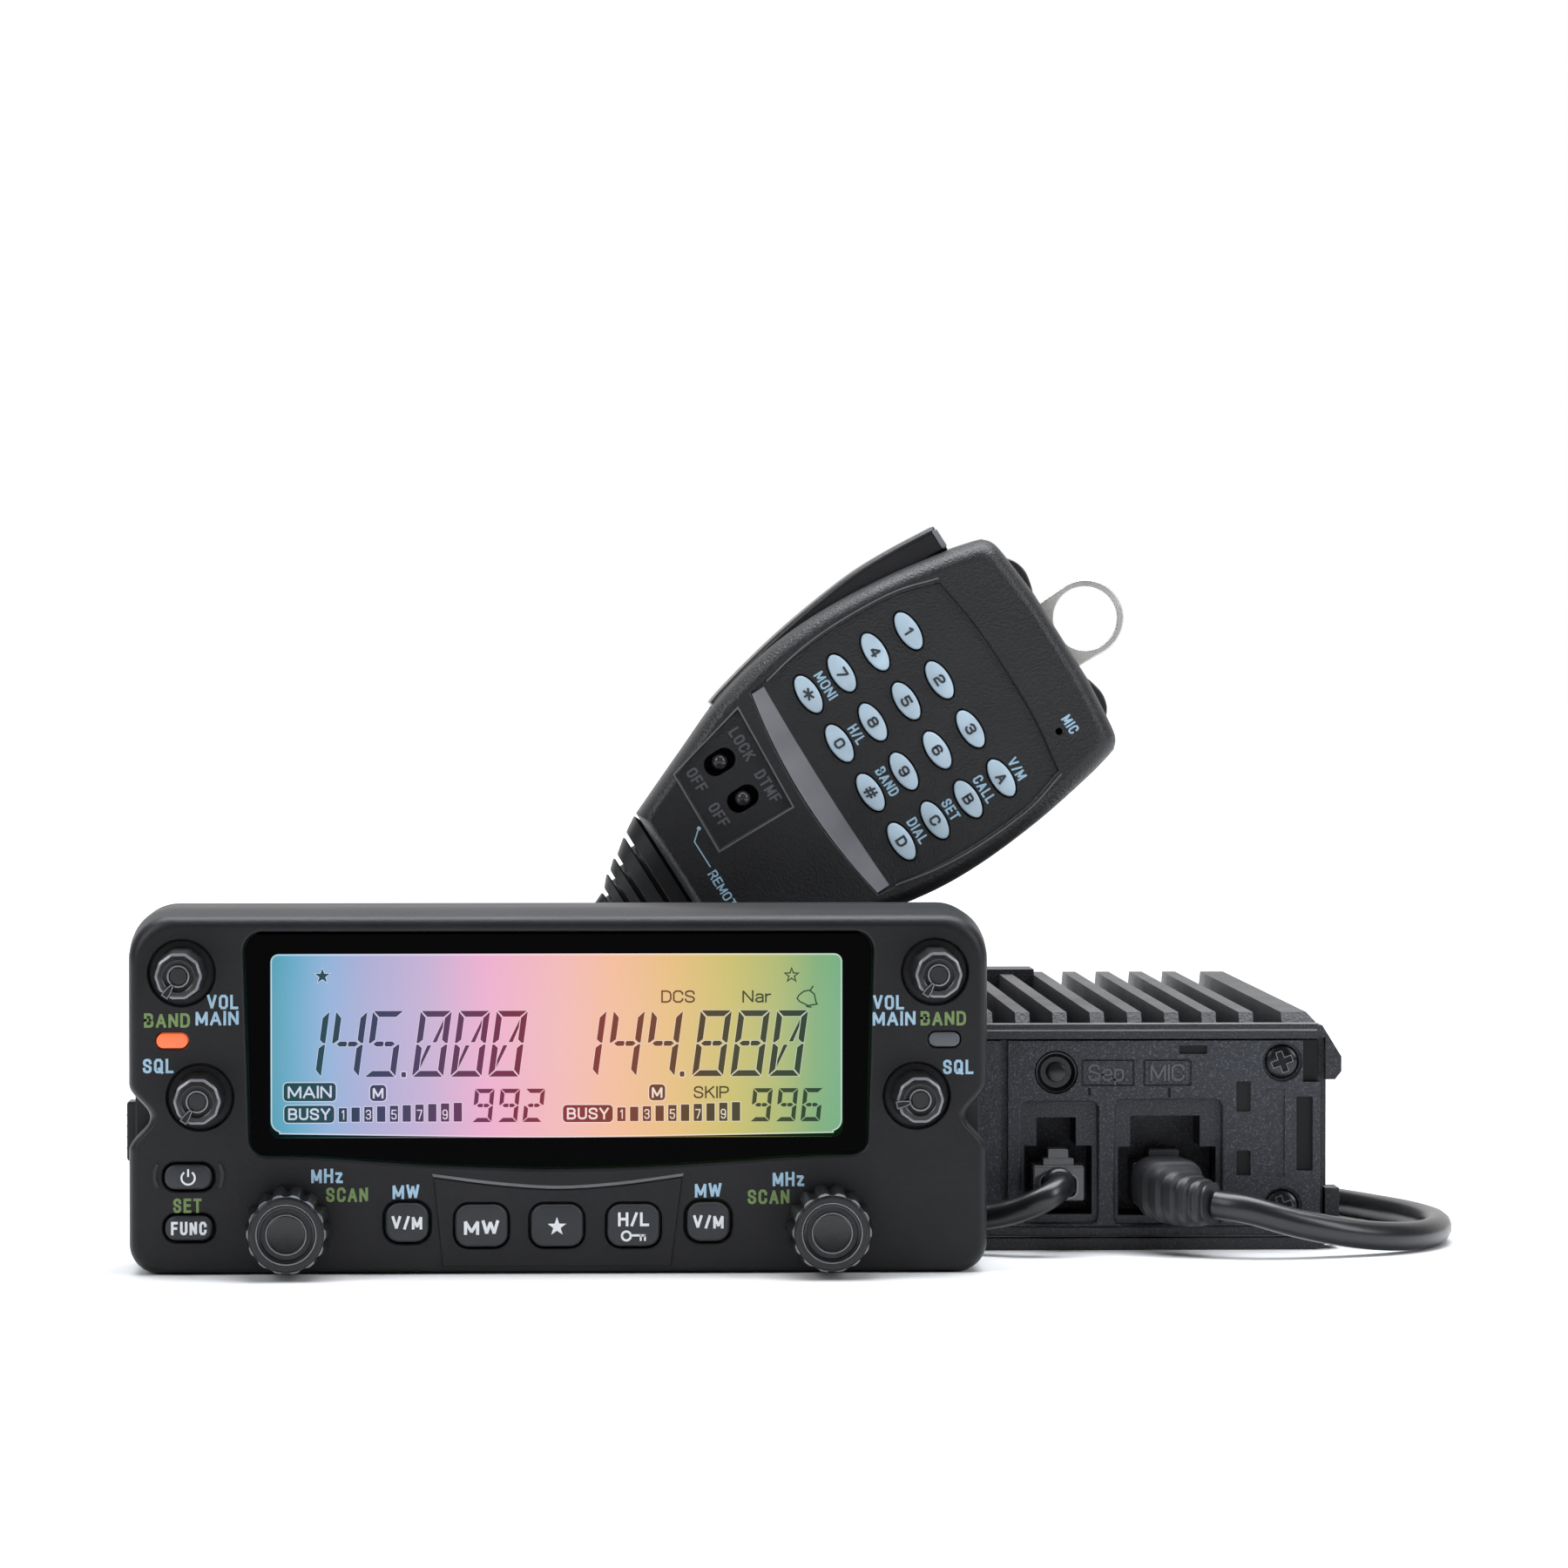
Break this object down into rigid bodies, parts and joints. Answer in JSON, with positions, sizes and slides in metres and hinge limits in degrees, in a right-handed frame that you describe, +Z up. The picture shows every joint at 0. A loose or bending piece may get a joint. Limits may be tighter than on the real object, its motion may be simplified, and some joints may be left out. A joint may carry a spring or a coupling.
{
  "type": "mobile transceiver",
  "caption": "Vehicle radio: wide control head with colour display, finned main unit and keypad hand microphone on a curly cord.",
  "frame": {"origin": "centre of the main unit's flat base, on the surface that it stands on", "axes": "+X to the right seen from the front, +Y towards the rear, +Z up"},
  "size_m": [0.2492, 0.2437, 0.1363],
  "materials": {
    "case_plastic": "fine moulded texture, charcoal black",
    "cast_paint": "textured dark grey paint on die-cast aluminium",
    "panel_plastic": "coarse sparkling moulded texture, dark grey",
    "window_gloss": "polished black",
    "screen": "lit colour display",
    "knob_plastic": "satin black",
    "relief_rubber": "soft black",
    "button_grey": "satin dark grey",
    "lamp_red": "lit orange-red light pipe",
    "lamp_grey": "unlit smoky light pipe",
    "circuit_board": "green solder mask",
    "steel": "nickel plate",
    "key_pale": "translucent pale blue-grey",
    "cord_jacket": "satin black PVC",
    "clear_plastic": "smoky clear plug body"
  },
  "bodies": {
    "main_unit": {"heat_sink_chassis": "cast_paint", "bottom_cover": "cast_paint", "front_panel": "panel_plastic", "main_circuit_board": "circuit_board", "loudspeaker": "knob_plastic", "antenna_connector": "steel", "mic_plug": "knob_plastic", "sep_plug": "clear_plastic", "mic_cord_run": "cord_jacket", "mic_cord_curl": "cord_jacket", "mic_cord_tail": "cord_jacket"},
    "fan_rotor": {"fan_rotor": "knob_plastic"},
    "control_head": {"head_front_case": "case_plastic", "head_rear_cover": "case_plastic", "display_window": "window_gloss", "lcd_module": "screen", "head_circuit_board": "circuit_board", "band_lamp_left": "lamp_red", "band_lamp_right": "lamp_grey", "sep_cord": "cord_jacket"},
    "power_button": {"power_button": "button_grey"},
    "func_button": {"func_button": "button_grey"},
    "vm_button_left": {"vm_button_left": "button_grey"},
    "mw_button": {"mw_button": "button_grey"},
    "star_button": {"star_button": "button_grey"},
    "hl_button": {"hl_button": "button_grey"},
    "vm_button_right": {"vm_button_right": "button_grey"},
    "vol_knob_left": {"vol_knob_left": "knob_plastic"},
    "vol_knob_right": {"vol_knob_right": "knob_plastic"},
    "sql_knob_left": {"sql_knob_left": "knob_plastic"},
    "sql_knob_right": {"sql_knob_right": "knob_plastic"},
    "dial_shaft_left": {"dial_shaft_left": "steel"},
    "dial_knob_left": {"dial_knob_left": "knob_plastic"},
    "dial_shaft_right": {"dial_shaft_right": "steel"},
    "dial_knob_right": {"dial_knob_right": "knob_plastic"},
    "microphone": {"mic_front_case": "case_plastic", "mic_rear_case": "case_plastic", "hanger_ring": "steel", "mic_strain_relief": "relief_rubber"},
    "ptt_lever": {"ptt_lever": "knob_plastic"},
    "mic_up_button": {"mic_up_button": "knob_plastic"},
    "mic_down_button": {"mic_down_button": "knob_plastic"},
    "lock_switch": {"lock_switch": "steel"},
    "dtmf_switch": {"dtmf_switch": "steel"},
    "key_1": {"key_1": "key_pale"},
    "key_2": {"key_2": "key_pale"},
    "key_3": {"key_3": "key_pale"},
    "key_a": {"key_a": "key_pale"},
    "key_4": {"key_4": "key_pale"},
    "key_5": {"key_5": "key_pale"},
    "key_6": {"key_6": "key_pale"},
    "key_b": {"key_b": "key_pale"},
    "key_7": {"key_7": "key_pale"},
    "key_8": {"key_8": "key_pale"},
    "key_9": {"key_9": "key_pale"},
    "key_c": {"key_c": "key_pale"},
    "key_star": {"key_star": "key_pale"},
    "key_0": {"key_0": "key_pale"},
    "key_hash": {"key_hash": "key_pale"},
    "key_d": {"key_d": "key_pale"}
  },
  "joints": [
    {"name": "head_lift", "type": "slide", "parent": "main_unit", "child": "control_head", "axis": [0, 0, 1], "range_m": [0, 0.05]},
    {"name": "microphone_lift", "type": "slide", "parent": "main_unit", "child": "microphone", "axis": [0, 0, 1], "range_m": [0, 0.1]},
    {"name": "fan_spin", "type": "hinge", "parent": "main_unit", "child": "fan_rotor", "pos_m": [0, 0.07425, 0.0226], "axis": [0, 1, 0], "continuous": true},
    {"name": "power_button_press", "type": "slide", "parent": "control_head", "child": "power_button", "axis": [0, 1, 0], "range_m": [0, 0.0008], "stiffness_N_per_m": 200, "springref_m": -0.0004},
    {"name": "func_button_press", "type": "slide", "parent": "control_head", "child": "func_button", "axis": [0, 1, 0], "range_m": [0, 0.0008], "stiffness_N_per_m": 200, "springref_m": -0.0004},
    {"name": "vm_button_left_press", "type": "slide", "parent": "control_head", "child": "vm_button_left", "axis": [0, 1, 0], "range_m": [0, 0.0008], "stiffness_N_per_m": 200, "springref_m": -0.0004},
    {"name": "mw_button_press", "type": "slide", "parent": "control_head", "child": "mw_button", "axis": [0, 1, 0], "range_m": [0, 0.0008], "stiffness_N_per_m": 200, "springref_m": -0.0004},
    {"name": "star_button_press", "type": "slide", "parent": "control_head", "child": "star_button", "axis": [0, 1, 0], "range_m": [0, 0.0008], "stiffness_N_per_m": 200, "springref_m": -0.0004},
    {"name": "hl_button_press", "type": "slide", "parent": "control_head", "child": "hl_button", "axis": [0, 1, 0], "range_m": [0, 0.0008], "stiffness_N_per_m": 200, "springref_m": -0.0004},
    {"name": "vm_button_right_press", "type": "slide", "parent": "control_head", "child": "vm_button_right", "axis": [0, 1, 0], "range_m": [0, 0.0008], "stiffness_N_per_m": 200, "springref_m": -0.0004},
    {"name": "vol_knob_left_turn", "type": "hinge", "parent": "control_head", "child": "vol_knob_left", "pos_m": [-0.1412, -0.1265, 0.0544], "axis": [0, 1, 0], "range_deg": [0, 285]},
    {"name": "vol_knob_right_turn", "type": "hinge", "parent": "control_head", "child": "vol_knob_right", "pos_m": [-0.0054, -0.1265, 0.0544], "axis": [0, 1, 0], "range_deg": [0, 285]},
    {"name": "sql_knob_left_turn", "type": "hinge", "parent": "control_head", "child": "sql_knob_left", "pos_m": [-0.1379, -0.1265, 0.032], "axis": [0, 1, 0], "range_deg": [0, 285]},
    {"name": "sql_knob_right_turn", "type": "hinge", "parent": "control_head", "child": "sql_knob_right", "pos_m": [-0.0087, -0.1265, 0.032], "axis": [0, 1, 0], "range_deg": [-44, 241]},
    {"name": "dial_left_push", "type": "slide", "parent": "control_head", "child": "dial_shaft_left", "axis": [0, 1, 0], "range_m": [0, 0.0005], "stiffness_N_per_m": 400, "springref_m": -0.0003},
    {"name": "dial_left_turn", "type": "hinge", "parent": "dial_shaft_left", "child": "dial_knob_left", "pos_m": [-0.122, -0.1265, 0.0084], "axis": [0, 1, 0], "continuous": true},
    {"name": "dial_right_push", "type": "slide", "parent": "control_head", "child": "dial_shaft_right", "axis": [0, 1, 0], "range_m": [0, 0.0005], "stiffness_N_per_m": 400, "springref_m": -0.0003},
    {"name": "dial_right_turn", "type": "hinge", "parent": "dial_shaft_right", "child": "dial_knob_right", "pos_m": [-0.0246, -0.1265, 0.0084], "axis": [0, 1, 0], "continuous": true},
    {"name": "ptt_press", "type": "hinge", "parent": "microphone", "child": "ptt_lever", "pos_m": [-0.04135, -0.021, 0.10221], "axis": [0, 1, 0], "range_deg": [0, 4], "stiffness_Nm_per_rad": 0.6, "springref_deg": -1.72},
    {"name": "mic_up_button_press", "type": "slide", "parent": "microphone", "child": "mic_up_button", "axis": [-0.8449, 0, -0.5349], "range_m": [0, 0.0012], "stiffness_N_per_m": 200, "springref_m": -0.0004},
    {"name": "mic_down_button_press", "type": "slide", "parent": "microphone", "child": "mic_down_button", "axis": [-0.8449, 0, -0.5349], "range_m": [0, 0.0012], "stiffness_N_per_m": 200, "springref_m": -0.0004},
    {"name": "lock_switch_slide", "type": "slide", "parent": "microphone", "child": "lock_switch", "axis": [0.8449, 0, 0.5349], "range_m": [-0.0015, 0.0015]},
    {"name": "dtmf_switch_slide", "type": "slide", "parent": "microphone", "child": "dtmf_switch", "axis": [0.8449, 0, 0.5349], "range_m": [-0.0015, 0.0015]},
    {"name": "key_1_press", "type": "slide", "parent": "microphone", "child": "key_1", "axis": [0, 1, 0], "range_m": [0, 0.0008], "stiffness_N_per_m": 200, "springref_m": -0.0004},
    {"name": "key_2_press", "type": "slide", "parent": "microphone", "child": "key_2", "axis": [0, 1, 0], "range_m": [0, 0.0008], "stiffness_N_per_m": 200, "springref_m": -0.0004},
    {"name": "key_3_press", "type": "slide", "parent": "microphone", "child": "key_3", "axis": [0, 1, 0], "range_m": [0, 0.0008], "stiffness_N_per_m": 200, "springref_m": -0.0004},
    {"name": "key_a_press", "type": "slide", "parent": "microphone", "child": "key_a", "axis": [0, 1, 0], "range_m": [0, 0.0008], "stiffness_N_per_m": 200, "springref_m": -0.0004},
    {"name": "key_4_press", "type": "slide", "parent": "microphone", "child": "key_4", "axis": [0, 1, 0], "range_m": [0, 0.0008], "stiffness_N_per_m": 200, "springref_m": -0.0004},
    {"name": "key_5_press", "type": "slide", "parent": "microphone", "child": "key_5", "axis": [0, 1, 0], "range_m": [0, 0.0008], "stiffness_N_per_m": 200, "springref_m": -0.0004},
    {"name": "key_6_press", "type": "slide", "parent": "microphone", "child": "key_6", "axis": [0, 1, 0], "range_m": [0, 0.0008], "stiffness_N_per_m": 200, "springref_m": -0.0004},
    {"name": "key_b_press", "type": "slide", "parent": "microphone", "child": "key_b", "axis": [0, 1, 0], "range_m": [0, 0.0008], "stiffness_N_per_m": 200, "springref_m": -0.0004},
    {"name": "key_7_press", "type": "slide", "parent": "microphone", "child": "key_7", "axis": [0, 1, 0], "range_m": [0, 0.0008], "stiffness_N_per_m": 200, "springref_m": -0.0004},
    {"name": "key_8_press", "type": "slide", "parent": "microphone", "child": "key_8", "axis": [0, 1, 0], "range_m": [0, 0.0008], "stiffness_N_per_m": 200, "springref_m": -0.0004},
    {"name": "key_9_press", "type": "slide", "parent": "microphone", "child": "key_9", "axis": [0, 1, 0], "range_m": [0, 0.0008], "stiffness_N_per_m": 200, "springref_m": -0.0004},
    {"name": "key_c_press", "type": "slide", "parent": "microphone", "child": "key_c", "axis": [0, 1, 0], "range_m": [0, 0.0008], "stiffness_N_per_m": 200, "springref_m": -0.0004},
    {"name": "key_star_press", "type": "slide", "parent": "microphone", "child": "key_star", "axis": [0, 1, 0], "range_m": [0, 0.0008], "stiffness_N_per_m": 200, "springref_m": -0.0004},
    {"name": "key_0_press", "type": "slide", "parent": "microphone", "child": "key_0", "axis": [0, 1, 0], "range_m": [0, 0.0008], "stiffness_N_per_m": 200, "springref_m": -0.0004},
    {"name": "key_hash_press", "type": "slide", "parent": "microphone", "child": "key_hash", "axis": [0, 1, 0], "range_m": [0, 0.0008], "stiffness_N_per_m": 200, "springref_m": -0.0004},
    {"name": "key_d_press", "type": "slide", "parent": "microphone", "child": "key_d", "axis": [0, 1, 0], "range_m": [0, 0.0008], "stiffness_N_per_m": 200, "springref_m": -0.0004}
  ]
}
